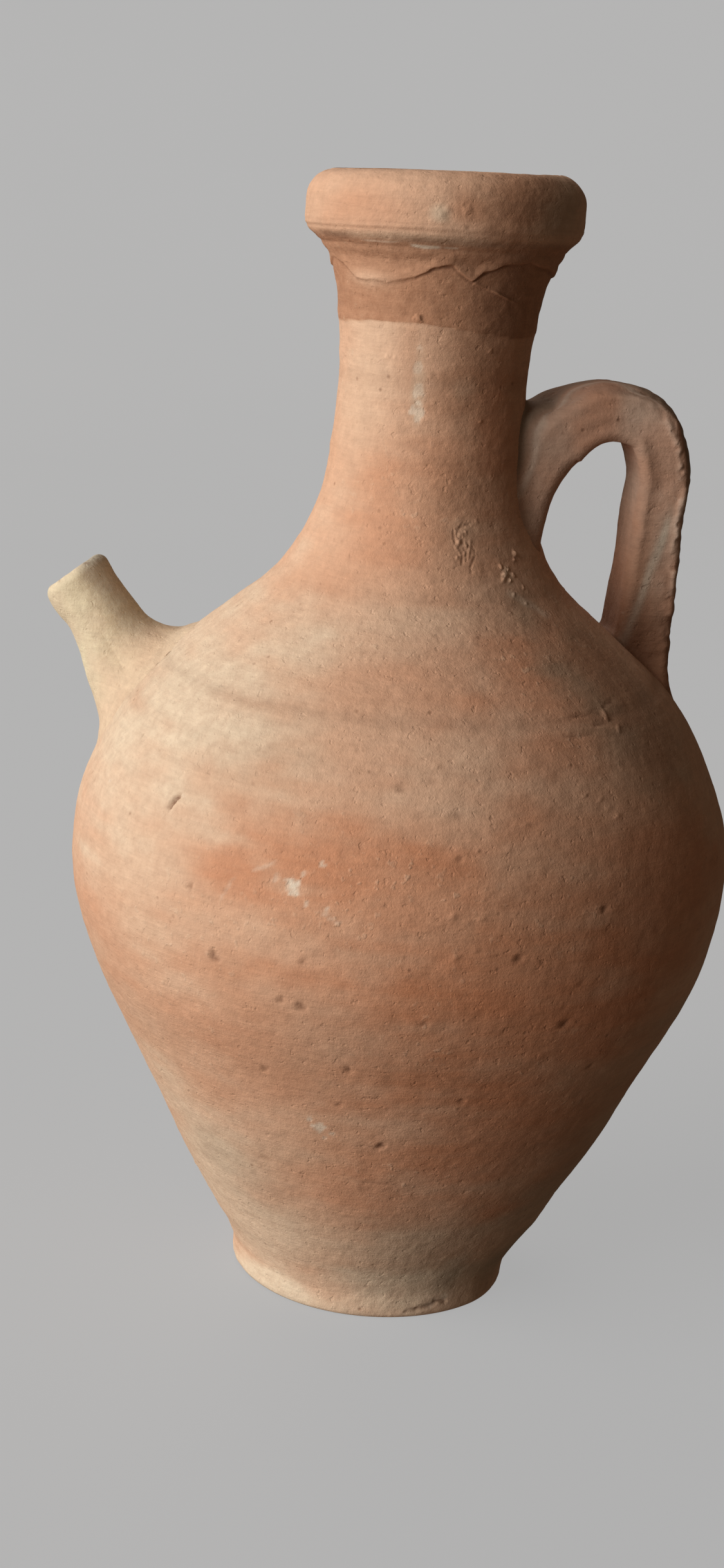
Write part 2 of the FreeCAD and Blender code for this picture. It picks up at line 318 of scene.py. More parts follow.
# Small hollows and lumps: (azimuth, height, radius, depth), with depth below 0 for a lump.
PITS = [
    (-119.5, 131.3, 1.6, 0.8), (-103.9, 135.4, 1.2, 0.5), (-104.1, 121.4, 1.4, 0.6),
    (-107.4, 122.4, 1.1, 0.6), (-96.3, 101.9, 1.2, 0.6), (-89.5, 73.3, 1.5, 0.7), (-125, 150, 1, 0.5),
    (-84, 120, 1, 0.5), (-70, 140, 1.3, 0.6), (-112, 97, 1.1, 0.5), (-98, 88, 1, 0.4),
    (-75, 92, 1.2, 0.5), (-60, 118, 1.4, 0.6), (-55, 152, 1.1, 0.5), (-50, 100, 1.3, 0.6),
    (-49.7, 236, 1.1, -0.9), (-47.5, 237.3, 0.8, -0.7), (-51.5, 234.6, 0.8, -0.6),
    (-48, 234.4, 0.7, -0.7), (-45, 235.6, 0.7, -0.6), (-51, 238, 0.8, -0.6), (-70, 247, 0.7, -0.4),
    (-68.4, 244, 0.8, -0.45), (-71.6, 244.6, 0.7, -0.4), (-67.6, 247.6, 0.6, -0.35),
    (-69.4, 241.6, 0.7, -0.4), (-72.6, 240.6, 0.6, -0.35), (-48.4, 230.6, 0.6, -0.4),
    (-44, 228, 0.6, -0.35), (-54, 226, 0.6, -0.35), (-42, 232, 0.6, -0.4), (-39.4, 241.3, 0.9, -0.9),
    (-41, 239.5, 0.6, -0.5), (-53, 181, 0.8, -0.4), (-51.5, 178.6, 0.8, -0.4), (-50, 176.4, 0.9, -0.5),
    (-56, 182.6, 0.7, -0.3), (-81, 152, 0.9, -0.4), (-78.5, 150.4, 0.8, -0.35),
    (-76.6, 151.6, 0.7, -0.35), (-83, 149.6, 0.7, -0.3), (-74, 146.4, 0.8, -0.35), (-80, 140.6, 1, -0.4),
    (-77, 143, 0.8, -0.35), (-90.6, 184.6, 2, 0.3), (-80.4, 178.4, 1.9, 0.25), (-80, 167.4, 1.2, 0.4),
    (-68.4, 176, 0.9, -0.35), (-72, 170, 0.7, -0.3), (-100.1, 308.2, 1.3, -0.6),
    (-91.4, 338.4, 2.6, -0.25), (-82, 340, 1.5, -0.25),
]
# Pale flakes where the skin came off: (azimuth, height, radius, whiteness).
CHIPS = [
    (-106.7, 157, 2, 0.95), (-106.2, 154.6, 1.6, 0.9), (-105.2, 159.8, 1.1, 0.5),
    (-109.5, 157.5, 1.2, 0.4), (-102.3, 163.1, 0.9, 0.6), (-100.7, 151.2, 0.9, 0.6), (-104, 152, 1, 0.5),
    (-102.3, 77.7, 2.4, 0.7), (-104.4, 80.6, 1.2, 0.6), (-99.8, 76.4, 1.1, 0.5), (-101.5, 74, 0.8, 0.4),
    (-154, 168, 1, 0.5), (-98.5, 300, 1.1, 0.3), (-98.3, 294, 1.7, 0.4), (-97.6, 287.4, 2, 0.5),
    (-97.2, 282, 2.3, 0.6), (-97, 279.6, 1.3, 0.5), (-131.5, 173, 0.8, 0.3), (-63.6, 4, 2.2, 0.4),
    (-58, 6, 1.6, 0.4), (60, 120, 3.4, 0.8), (140, 90, 2.8, 0.7),
]
# Dents and scratches: (azimuth, height, tilt in degrees, length, width, depth).
SCRATCHES = [
    (-132.9, 170.8, 68, 6.5, 1.1, 1.2), (-71, 248.5, 60, 7, 0.5, 0.16), (-69.5, 245, 100, 8, 0.5, 0.18),
    (-72.5, 243, 115, 7, 0.5, -0.2), (-66.5, 243, 75, 7, 0.5, -0.2), (-68, 249.5, 20, 6, 0.5, 0.25),
    (-70.5, 240.5, 80, 5, 0.5, 0.3), (-73.8, 246, 95, 5, 0.5, 0.25), (-65.5, 239.5, 60, 5, 0.5, 0.25),
    (-48, 201.5, 3, 17, 0.7, 0.35), (-44, 199, 8, 12, 0.7, 0.35), (-52, 197, -4, 14, 0.6, 0.3),
    (-39, 203, 14, 9, 0.8, 0.35), (-42.5, 200.6, 88, 5, 0.9, -0.5), (-41, 197, 60, 3.5, 0.7, -0.4),
    (-66, 3.2, 8, 9, 1.1, 0.5), (-60, 4.6, -12, 6, 0.9, 0.5), (-72, 2.6, 4, 6, 0.8, 0.4),
    (-120, 60, 4, 16, 0.6, 0.25), (-90, 58, -3, 20, 0.6, 0.25),
]
# Pale rubbed lines: (azimuth, height, tilt in degrees, length, width, whiteness).
RUBBED = [
    (-97, 328.8, 1, 10, 1.1, 1), (-86, 329, 1, 5, 0.6, 0.5), (-43, 227.8, -38, 19, 2.2, 0.3),
    (-118, 329.5, 0, 14, 0.5, 0.4), (-112, 160, 30, 9, 0.8, 0.3), (-100, 149, -25, 8, 0.8, 0.3),
    (-118, 152, 65, 9, 0.7, 0.25),
]
# Stains of each colour, and patches of painted shade: (azimuth, height, half-width in degrees,
# half-height, strength).
RED_STAINS = [
    (-72, 126, 46, 64, 1), (-50, 285, 26, 44, 0.7), (-52, 208, 30, 20, 0.75), (-108, 250, 40, 26, 0.5),
    (-106, 158, 26, 26, 0.8), (-64, 74, 44, 44, 0.85), (-82, 340, 8, 5, 0.4), (-112, 104, 28, 30, 0.5),
    (35, 120, 50, 56, 0.85), (120, 90, 46, 46, 0.7), (90, 170, 30, 26, 0.5), (-42, 150, 34, 46, 0.75),
    (100, 240, 40, 20, 0.5), (-86, 50, 30, 24, 0.6), (-150, 128, 34, 22, 0.5), (-80, 268, 40, 22, 0.4),
    (-85, 212, 30, 12, 0.4), (-120, 338, 34, 8, 0.35), (30, 280, 60, 24, 0.5),
]
# Cream slip; the patches on the left, round azimuth -150, also paint the side facing the key lamp paler,
# as painted light.
CREAM_SLIP_AND_PAINTED_LIGHT = [
    (-150, 190, 42, 46, 1), (-140, 150, 26, 40, 0.4), (-144, 48, 28, 42, 0.65), (-135, 26, 50, 26, 0.6),
    (-104, 30, 44, 14, 0.45), (-122, 3, 62, 9, 1), (-86, 10, 44, 15, 1), (-56, 8, 24, 14, 0.45),
    (-78, 190, 20, 10, 0.35), (-98, 290, 4.5, 13, 0.5), (-71, 289, 8, 4, 0.5), (-100, 220, 40, 10, 0.35),
    (176, 186, 44, 44, 1), (-135, 290, 26, 34, 0.3), (-91.4, 338.4, 4.6, 2.8, 0.65),
    (-100, 330.6, 40, 2, 0.4), (60, 20, 60, 18, 0.5), (150, 60, 34, 26, 0.5), (-69, 245, 9, 6, 0.35),
    (-49, 236, 4, 3, 0.5), (80, 300, 40, 20, 0.3),
]
# Grey grime; the patch on the rim's right, round azimuth -34, also darkens the rim's shadowed side as
# painted shade.
GREY_GRIME_AND_SHADE = [
    (-34, 200, 20, 26, 0.85), (-46, 226, 12, 9, 0.5), (-128, 52, 24, 22, 0.35), (-66, 290, 16, 20, 0.12),
    (-58, 16, 9, 15, 0.6), (-91.4, 338.4, 4.6, 2.8, 0.15), (-80, 30, 40, 16, 0.35),
    (70, 190, 30, 24, 0.6), (-120, 186, 16, 14, 0.2), (-34, 342, 30, 14, 0.5), (-26, 60, 30, 60, 0.5),
    (-30, 14, 30, 16, 0.7), (60, 344, 50, 10, 0.4),
]
# Painted shade: dark patches on the shadowed right side of the neck and body, and on the shoulder by the
# handle's lower root.
PAINTED_SHADE_PATCHES = [
    (-70, 302, 26, 38, 0.75), (-58, 342, 28, 17, 1), (-72, 252, 22, 24, 0.5), (-32, 204, 18, 24, 0.8),
    (-64, 150, 28, 30, 0.35), (-90, 114, 32, 28, 0.35), (-46, 322, 24, 14, 0.5),
    (-100, 300, 14, 30, 0.25), (-20, 280, 30, 40, 0.5),
]


def patches(points, azimuth, stains_and_painted_light, seed):
    """How strongly a set of ragged patches covers each point, from 0 to 1: stains, slip, grime and painted
    shade.
    """
    height = points[..., 2]
    ragged = 0.3 * fractal(points * [1, 1, 1.8], 22, 4, seed)
    ragged += 0.16 * noise(points * [1, 1, 6], 20, seed + 9)
    total = np.zeros(height.shape)
    for centre, level, width, tall, strength in stains_and_painted_light:
        across = degrees_from(azimuth, centre) / width
        away = np.sqrt(across ** 2 + ((height - level) / tall) ** 2) + ragged
        total = np.maximum(total, strength * fade(away, 0.1, 1.25))
    return total


def near_rows(points, height, reach):
    """The rows of a grid that pass within reach of a height."""
    level = points[:, 0, 2]
    return np.nonzero(np.abs(level - height) < reach)[0]


def spot(points, azimuth, height, radius):
    """Rows near a spot, and 1 at its middle falling to 0 at its ragged edge."""
    rows = near_rows(points, height, 2.2 * radius + 1)
    centre = on_wall(azimuth, height)[0]
    away = np.linalg.norm(points[rows] - centre, axis=-1) / radius
    away += 0.5 * noise(points[rows], radius * 0.7, 61)
    return rows, fade(away, 0.25, 1.25)


def stroke(points, azimuth, height, tilt, length, width):
    """Rows near a scratch, and 1 along its middle falling to 0 at its sides and ends."""
    centre, level, rise = on_wall(azimuth, height)
    turn = math.radians(tilt)
    along = level * math.cos(turn) + rise * math.sin(turn)
    across = rise * math.cos(turn) - level * math.sin(turn)
    rows = near_rows(points, height, length)
    offset = points[rows] - centre
    run = offset @ along
    side = offset @ across + 0.35 * width * noise(points[rows], 3.5, 71)
    facing = fade(np.linalg.norm(offset, axis=-1), length, 1.2 * length)
    shape = fade(np.abs(side), 0.2 * width, width) * fade(np.abs(run), 0.3 * length, 0.5 * length)
    return rows, shape * facing


# The dark band's lower edge, read from the photograph where it shows: (azimuth, height).
BAND_EDGE = [
    (-180, 304.7), (-162, 305), (-130, 306.3), (-100, 306.7), (-80, 306), (-60, 304.8), (-36, 303.4),
    (0, 304), (60, 306), (120, 305.4), (180, 304.7),
]
# The torn lip of clay below the rim, read likewise: (azimuth, height, how torn).
TORN_LIP = [
    (-180, 320.5, 0.5), (-163, 324, 0.2), (-150, 322, 0.5), (-140, 318.6, 0.45), (-118, 317.6, 0.25),
    (-102, 319.8, 0.4), (-92, 323.4, 0.7), (-84, 323.8, 0.8), (-73, 319.6, 1.3), (-68, 322.4, 1.2),
    (-58, 325.2, 0.8), (-43, 326, 0.5), (-10, 322, 0.5), (20, 318.5, 0.8), (50, 321.5, 0.3),
    (80, 317.5, 0.9), (110, 322, 0.6), (135, 324, 0.3), (160, 319, 0.8), (180, 320.5, 0.5),
]
# A thin raised fold that runs down from the tear.
FOLD = [(-76, 320.6), (-70, 318.8), (-60, 317.2), (-50, 315.2), (-41, 313.6)]


def along_line(azimuth, line, column=1):
    """Height of a listed line at each azimuth, or another of its columns."""
    values = np.array(line, float)
    return np.interp(azimuth, values[:, 0], values[:, column])


def relief(points, azimuth):
    """Height of every mark above the turned outline, with masks of its soil and painted shade, its chips
    and the band.
    """
    height = points[..., 2]
    slow = noise(points, 60, 3)
    rise = 0.45 * noise(points, 48, 1) + 0.16 * noise(points, 19, 2)
    waver = height + 0.7 * slow + 0.25 * noise(points, 25, 4)
    level_points = np.stack([waver * 0, waver * 0, waver], axis=-1)
    rings = noise(level_points, 5.5, 5) + 0.6 * noise(level_points, 2.3, 6)
    strength = 0.07 + 0.08 * smooth(60 - height, 0, 55) + 0.05 * bell(height, 200, 14)
    strength += 0.04 * smooth(height, 300, 312)
    rise += rings * strength * (0.55 + 0.45 * noise(points, 30, 7))
    rise += 0.10 * fractal(points, 4.5, 3, 8) + 0.035 * noise(points, 1.3, 12)
    soil_and_shade = 0.12 * smooth(-rings, 0.3, 1.0)

    # turning rings on the shoulder, the neck's joint and the rim
    turned = [(200.4, 1.8, 0.26), (196.5, 0.8, 0.1), (229.5, 1.6, 0.16), (333.4, 0.5, 0.22),
              (335.2, 0.45, 0.16), (328.4, 0.6, 0.3), (14.0, 1.2, 0.06)]
    for level, width, depth in turned:
        patchy = 0.45 + 0.55 * smooth(noise(points, 34, int(level)), -0.5, 0.5)
        groove = bell(waver, level, width) * patchy
        rise -= depth * groove
        soil_and_shade = np.maximum(soil_and_shade, min(0.5, 0.8 * depth) * groove)

    # dark band: a thin skin with a sharp lower edge, a torn lip and a lifted crack above it
    edge = along_line(azimuth, BAND_EDGE) + 0.12 * noise(points, 2.4, 15) + 0.2 * noise(points, 11, 29)
    band = smooth(height, edge - 0.25, edge + 0.25) * fade(height, 329.4, 331.2)
    rise += 0.16 * band
    lip = along_line(azimuth, TORN_LIP) + 0.35 * noise(points, 4.0, 16) + 0.15 * noise(points, 1.6, 18)
    above_lip = height - lip
    hang = smooth(above_lip, -0.2, 0.35) * fade(above_lip, 0.9, 4.0)
    torn = along_line(azimuth, TORN_LIP, 2) * smooth(noise(points, 15, 17), -1.4, 0.1)
    rise += 0.95 * torn * hang * band
    # painted shadow: the soil mask darkens the hollow just under the torn lip
    under_lip = bell(above_lip, -0.6, 0.5) * np.clip(torn, 0, 1) * band
    rise -= 0.3 * under_lip
    soil_and_shade = np.maximum(soil_and_shade, 0.85 * under_lip)
    # painted shade: the band is darkened on its shadowed side, round azimuth -52
    soil_and_shade = np.maximum(soil_and_shade, 0.35 * around(azimuth, -52, 34) * band)
    # darker under the rim: dirt and painted shade on its downward face
    under_rim = bell(height, 330.6, 1.1) * smooth(noise(points, 9, 28), -0.9, 0.2)
    soil_and_shade = np.maximum(soil_and_shade, 0.55 * under_rim)
    fold_at = height - along_line(azimuth, FOLD)
    fold = bell(fold_at, 0, 0.45) * around(azimuth, -58, 20)
    rise += 0.7 * fold * (0.8 + 0.4 * noise(points, 3.0, 19))
    # painted shadow just below the raised fold
    soil_and_shade = np.maximum(soil_and_shade, 0.5 * bell(fold_at, -0.9, 0.5) * around(azimuth, -58, 20))
    smear = around(azimuth, -131, 26) * bell(height, 318.4, 2.3)
    smear *= smooth(noise(points, 6, 20), -1.9, -0.5)
    rise += 0.45 * smear

    chip = np.zeros(height.shape)
    for *place, depth in PITS + scattered_pits:
        rows, shape = spot(points, *place)
        rise[rows] -= depth * shape
        if depth > 0:
            soil_and_shade[rows] = np.maximum(soil_and_shade[rows], min(0.8, 1.3 * depth) * shape)
    for *place, white in CHIPS:
        rows, shape = spot(points, *place)
        rise[rows] -= 0.08 * shape
        chip[rows] = np.maximum(chip[rows], white * smooth(shape, 0.1, 0.7))
    for *place, white in RUBBED:
        rows, shape = stroke(points, *place)
        chip[rows] = np.maximum(chip[rows], white * shape)
    for *place, depth in SCRATCHES:
        rows, shape = stroke(points, *place)
        rise[rows] -= depth * shape
        soil_and_shade[rows] = np.maximum(soil_and_shade[rows], min(1.0, 1.3 * depth) * shape)
    band = band * (1 - 0.85 * smear) * (1 - 0.12 * smooth(above_lip, 0, 0.6))
    return rise, soil_and_shade, chip, band


scattered_pits = [(rng.uniform(-180, 180), rng.triangular(20, 120, 300),
                   rng.uniform(0.4, 0.9), rng.uniform(0.08, 0.3)) for _ in range(90)]
scattered_pits += [(rng.uniform(-180, 180), rng.uniform(15, 300),
                    rng.uniform(0.5, 1.0), -rng.uniform(0.1, 0.3)) for _ in range(110)]


# ---- meshes
def placed(name, data):
    """A new object in the scene."""
    made = bpy.data.objects.new(name, data)
    bpy.context.scene.collection.objects.link(made)
    return made


def new_piece(name, points, faces, normals):
    """A smooth mesh object, in metres, over a grid of points with their own normals."""
    vertices = points.reshape(-1, 3)
    mesh = bpy.data.meshes.new(name)
    mesh.vertices.add(len(vertices))
    mesh.vertices.foreach_set("co", (vertices * MM).astype(np.float32).ravel())
    sizes = np.array([len(face) for face in faces])
    corners = np.concatenate(list(faces))
    mesh.loops.add(len(corners))
    mesh.loops.foreach_set("vertex_index", corners.astype(np.int32))
    mesh.polygons.add(len(sizes))
    mesh.polygons.foreach_set("loop_start", np.r_[0, np.cumsum(sizes)[:-1]].astype(np.int32))
    mesh.polygons.foreach_set("loop_total", sizes.astype(np.int32))
    mesh.update(calc_edges=True)
    mesh.validate()
    mesh.polygons.foreach_set("use_smooth", np.ones(len(sizes), dtype=bool))
    mesh.normals_split_custom_set_from_vertices(normals.reshape(-1, 3).astype(np.float32))
    return placed(name, mesh)


def paint(piece, name, red, green, blue):
    """Store three masks on a mesh as one colour attribute."""
    layer = piece.data.attributes.new(name, "FLOAT_COLOR", "POINT")
    colours = np.stack([red, green, blue, np.ones(red.shape)], axis=-1)
    layer.data.foreach_set("color", np.clip(colours, 0, 1).astype(np.float32).ravel())


def grid_faces(rows, columns, closed_rows=False):
    """Quads over a grid whose columns wrap round, and whose rows wrap too if asked."""
    first = np.arange(rows if closed_rows else rows - 1)[:, None]
    second = (first + 1) % rows
    column = np.arange(columns)[None, :]
    following = (column + 1) % columns
    corners = [first * columns + column, first * columns + following,
               second * columns + following, second * columns + column]
    return np.stack(corners, axis=-1).reshape(-1, 4)


def capped(faces, rows, columns):
    """The faces of a grid, and one more over its first row and over its last."""
    ring = np.arange(columns)
    return [*faces, ring[::-1], (rows - 1) * columns + ring]


def grid_normals(points):
    """Smooth normals of a grid whose columns wrap round."""
    along_row = np.roll(points, -1, axis=1) - np.roll(points, 1, axis=1)
    up = np.gradient(points, axis=0)
    return unit(np.cross(along_row, up))


def spun(line, columns):
    """A grid of points: a (radius, height) line turned about Z, with each point's azimuth."""
    turn = np.linspace(-math.pi, math.pi, columns, endpoint=False)
    radius = line[:, 0][:, None]
    points = np.stack([radius * np.cos(turn), radius * np.sin(turn),
                       np.repeat(line[:, 1][:, None], columns, axis=1)], axis=-1)
    azimuth = np.broadcast_to(np.degrees(turn), points.shape[:2])
    return points, azimuth


# Where the wall stands in or out of true: (azimuth, height, half-width, half-height, how far out).
SWELLS = [
    (180, 138, 60, 34, 0.7), (180, 108, 50, 24, -0.9), (180, 158, 40, 14, 0.6), (0, 122, 50, 34, -1),
    (0, 98, 40, 22, -0.5), (0, 176, 40, 20, -0.9), (0, 52, 55, 30, 2), (0, 2, 45, 13, -2.7),
    (0, 24, 45, 13, 1.1), (180, 40, 50, 26, 1), (0, 242, 40, 9, 0.8), (0, 323.5, 45, 6, 0.9),
    (0, 350, 60, 8, -0.8), (180, 350, 40, 7, -0.3),
]


def thrown_true(points):
    """The small lean, swelling and out-of-round that throwing by hand leaves."""
    height = points[..., 2]
    turn = np.arctan2(points[..., 1], points[..., 0])
    oval = 1 + 0.004 * np.cos(2 * turn + 0.6 + height / 160) + 0.0025 * np.cos(3 * turn + height / 70)
    moved = points.copy()
    free = smooth(height, 0, 30)
    moved[..., :2] *= (1 + (oval - 1) * free)[..., None]
    for azimuth_at, level, width, tall, out in SWELLS:
        share = around(np.degrees(turn), azimuth_at, width) * fade(np.abs(height - level), 0, tall)
        moved[..., :2] *= (1 + out * share / wall_radius(level))[..., None]
    lean = np.clip((1 - points[..., 0] / RIM_RADIUS) / 2, 0, 1) ** 3
    away = smooth(points[..., 1] / RIM_RADIUS, -0.2, 1)
    moved[..., 2] -= smooth(height, 312, 344) * (2.1 * lean + 0.1 * away)
    return moved


outer_points, outer_azimuth = spun(outer_line, COLUMNS)
outer_rise, outer_soil_and_shade, outer_chip, outer_band_and_shade = relief(outer_points, outer_azimuth)
flat_base = smooth(outer_points[..., 2], 0.0, 1.2)
inside_mouth = np.ones(len(outer_line))
inside_mouth[np.argmax(outer_line[:, 1]):] = 0.5
outer_rise = outer_rise * flat_base * inside_mouth[:, None]
plain_normals = grid_normals(outer_points)
outer_shaped = thrown_true(outer_points + plain_normals * outer_rise[..., None])
outer_shaped[..., 2] = np.maximum(outer_shaped[..., 2], 0.0)
outer_normals = grid_normals(outer_shaped)
outer_red, outer_cream_and_light, outer_grey_and_shade, outer_painted_shade = (
    patches(outer_points, outer_azimuth, stains_and_painted_light, seed) for stains_and_painted_light, seed in
    [(RED_STAINS, 81), (CREAM_SLIP_AND_PAINTED_LIGHT, 91), (GREY_GRIME_AND_SHADE, 96), (PAINTED_SHADE_PATCHES, 99)])
# the painted shade patches join the band's mask and take its dark brown
outer_band_and_shade = np.maximum(outer_band_and_shade, outer_painted_shade)
outer_masks = [outer_red, outer_cream_and_light, outer_band_and_shade, outer_chip, outer_grey_and_shade, outer_soil_and_shade]
INNER_MASKS = (0.3, 0.1, 0, 0, 0, 0.2)


def wall_piece(name):
    """One thrown member: its outside with every mark, its inside, and the joints between them."""
    first, last = outer_rows[name]
    rows = [outer_shaped[first:last + 1]]
    normals = [outer_normals[first:last + 1]]
    masks = [mask[first:last + 1] for mask in outer_masks]
    if name in INSIDE:
        inner, _ = spun(resampled(INSIDE[name], INNER_STEP), COLUMNS)
        uneven = 0.3 * noise(inner * [1, 1, 3], 22, 31)
        inner = thrown_true(inner + uneven[..., None] * wall_normal(inner))
        rows.append(inner)
        normals.append(grid_normals(inner))
        masks = [np.concatenate([mask, np.full(inner.shape[:2], share)])
                 for mask, share in zip(masks, INNER_MASKS)]
    grid = np.concatenate(rows)
    floor = name == "base_disc"
    faces = grid_faces(len(grid), COLUMNS, closed_rows=not floor)
    if floor:
        faces = capped(faces, len(grid), COLUMNS)
    piece = new_piece(f"clay_{name}", grid, faces, np.concatenate(normals))
    # band holds the dark band and the painted shade patches; cream and grey hold some painted light as
    # well
    red, cream, band, chip, grey, soil_and_shade = masks
    paint(piece, "stain_and_painted_light", red, cream, band)
    paint(piece, "marks_and_shade", chip, grey, soil_and_shade)
    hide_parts(name)
    return piece


wall_pieces = {name: wall_piece(name) for name in WALL_PIECES}


# ---- spout
def across_axes(axis):
    """Two directions square to an axis, the first level."""
    level = unit(np.cross([0, 0, 1], axis))
    return level, np.cross(axis, level)


def settle_in_wall(points, depth):
    """Keep the buried end of a root inside the wall, no deeper than depth."""
    gap = wall_distance(points)
    lift = np.maximum(-depth - gap, 0)
    return points + wall_normal(points) * lift[..., None]


def spread_on_wall(points, outward, reach):
    """Carry a tube's side out along the wall as it comes near, so that the two meet in a hollow curve."""
    gap = wall_distance(points)
    normal = wall_normal(points)
    flat = unit(outward - normal * np.sum(outward * normal, axis=-1, keepdims=True), 0.2)
    near = np.clip(1 - gap / reach, 0, 1)
    moved = points + flat * (reach * (1 - np.sqrt(1 - near ** 2)))[..., None]
    return moved + normal * (gap - wall_distance(moved))[..., None]


SPOUT_LENGTH = 37.5
SPOUT_ROOT = SPOUT_BORE_MIDDLE - SPOUT_AXIS * (SPOUT_LENGTH - 9.5)
SPOUT_RADIUS = 10.9
SPOUT_TIP = (10.8, SPOUT_LENGTH - 3.0)


def spout_piece():
    """The short tube with its thumbed skirt, its rounded lip and its bore."""
    columns = COLUMNS // 2
    step = 0.45
    line = resampled([(SPOUT_RADIUS, -13.0), (SPOUT_RADIUS, 20.0), (10.5, 30.0), SPOUT_TIP]
                     + arc(SPOUT_TIP, (8.3, SPOUT_LENGTH), 2.9, BULGE, 10)
                     + arc((8.0, SPOUT_LENGTH), (SPOUT_BORE, SPOUT_LENGTH - 1.4), 1.5, BULGE, 8)
                     + [(SPOUT_BORE, 18.0), (7.2, -2.0)], step)
    radius, out = line[:, :1], line[:, 1:]
    turn = np.linspace(0, 2 * math.pi, columns, endpoint=False)
    level, square = across_axes(SPOUT_AXIS)
    spoke = level * np.cos(turn)[:, None] + square * np.sin(turn)[:, None]
    points = (SPOUT_ROOT + SPOUT_AXIS * out)[:, None, :] + spoke[None] * radius[..., None]
    last_outer_row = np.argmin(np.abs(out - SPOUT_LENGTH)) + 3
    outer = (np.arange(len(line)) <= last_outer_row)[:, None]
    facing_down = -(spoke @ np.array([0, 0, 1.0])) / math.hypot(*SPOUT_AXIS[:2])
    below = np.clip(facing_down, 0, 1)
    taper = smooth(26 - out, 0, 30) * (0.5 + 6.2 * below) + 1.2 * bell(out, 30, 5) * below
    points = points + spoke[None] * (taper * outer)[..., None]
    reach = np.broadcast_to(12 - 1.8 * below + 3.5 * np.clip(-facing_down, 0, 1), points.shape[:2])
    spread = spread_on_wall(points, np.broadcast_to(spoke[None], points.shape), reach)
    points = np.where(outer[..., None], spread, points)
    gap = wall_distance(points)
    normal = grid_normals(points)
    place = points + 200
    rise = 0.3 * noise(place, 13, 21) + 0.09 * fractal(place, 4.0, 3, 22) + 0.035 * noise(place, 1.3, 23)
    rise += 0.35 * bell(gap, 0.9, 0.7) * smooth(noise(place, 10, 24), -0.7, 0.2)
    points = points + normal * (rise * outer)[..., None]
    points = settle_in_wall(points, 2.6)
    faces = capped(grid_faces(len(points), columns), len(points), columns)
    piece = new_piece("clay_spout", points, faces, grid_normals(points))
    bore = ~outer
    cream = np.clip(0.8 + 0.4 * fractal(place, 12, 3, 25), 0, 1) * (1 - 0.6 * bore)
    cream = cream * (0.35 + 0.65 * smooth(gap, 0, 16))
    red = np.clip(0.22 + 0.3 * noise(place, 15, 26), 0, 1) * fade(gap, 2, 16)
    speck = smooth(noise(place, 1.5, 27), 0.55, 0.8) * bell(out, SPOUT_LENGTH, 1.6)
    # painted shade: the side of the spout turned away from the key lamp is greyed through the grime
    # channel
    shaded = smooth(spoke @ np.array([0.8, 0, 0.6]), 0.1, 0.9) * smooth(out, 4, 20) * outer
    blank = np.zeros(cream.shape)
    paint(piece, "stain_and_painted_light", red, cream, blank)
    paint(piece, "marks_and_shade", blank, 0.75 * shaded, 0.6 * np.maximum(bore, speck))
    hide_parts("spout", "spout_coil")
    return piece


spout = spout_piece()

# ---- handle
# The strap's middle line from the neck over the arch to the shoulder: (across, back, up, thickness).
STRAP_COURSE = np.array([
    (27, 1, 234, 14), (28, 1.5, 246, 15), (30.1, 2, 257, 15), (33, 2.5, 266, 17), (37.2, 3.2, 274.6, 21.6),
    (45.8, 4.8, 280.4, 17.8), (55.5, 6.5, 282.2, 16.6), (66.4, 8.5, 278.6, 17.2),
    (71.7, 11, 265.5, 17.4), (71.5, 14, 250, 17.2), (70.9, 18, 230, 17.8), (70.1, 23.5, 207, 19.6),
    (68.8, 28, 188, 21.8),
])
STRAP_WIDTH = 24.0
STRAP_HEADING = math.radians(9.0)
STRAP_CORNER = 3.4
NECK_END_CORNER = 5.0


def curve_through(knots, count):
    """Evenly spaced points of a smooth curve through knots, each of any number of values."""
    ends = np.vstack([2 * knots[0] - knots[1], knots, 2 * knots[-1] - knots[-2]])
    fine = []
    for place in range(1, len(ends) - 2):
        before, start, end, after = ends[place - 1:place + 3]
        part = np.linspace(0, 1, 40, endpoint=False)[:, None]
        fine.append(0.5 * (2 * start + (end - before) * part
                           + (2 * before - 5 * start + 4 * end - after) * part ** 2
                           + (3 * start - before - 3 * end + after) * part ** 3))
    return paced(np.vstack(fine + [ends[-2][None]]), count)


def rounded_section(count, half_width, half_thickness, corner):
    """Evenly spaced points round a rounded rectangle: (sideways, outward)."""
    line = []
    for quarter, (side, face) in enumerate([(1, 1), (-1, 1), (-1, -1), (1, -1)]):
        angles = np.radians(90 * quarter + np.linspace(0, 90, 16))
        middle = np.array([side * (half_width - corner), face * (half_thickness - corner)])
        line.extend(middle + corner * np.stack([np.cos(angles), np.sin(angles)], axis=-1))
    return paced(np.array(line + line[:1]), count, endpoint=False)[0]


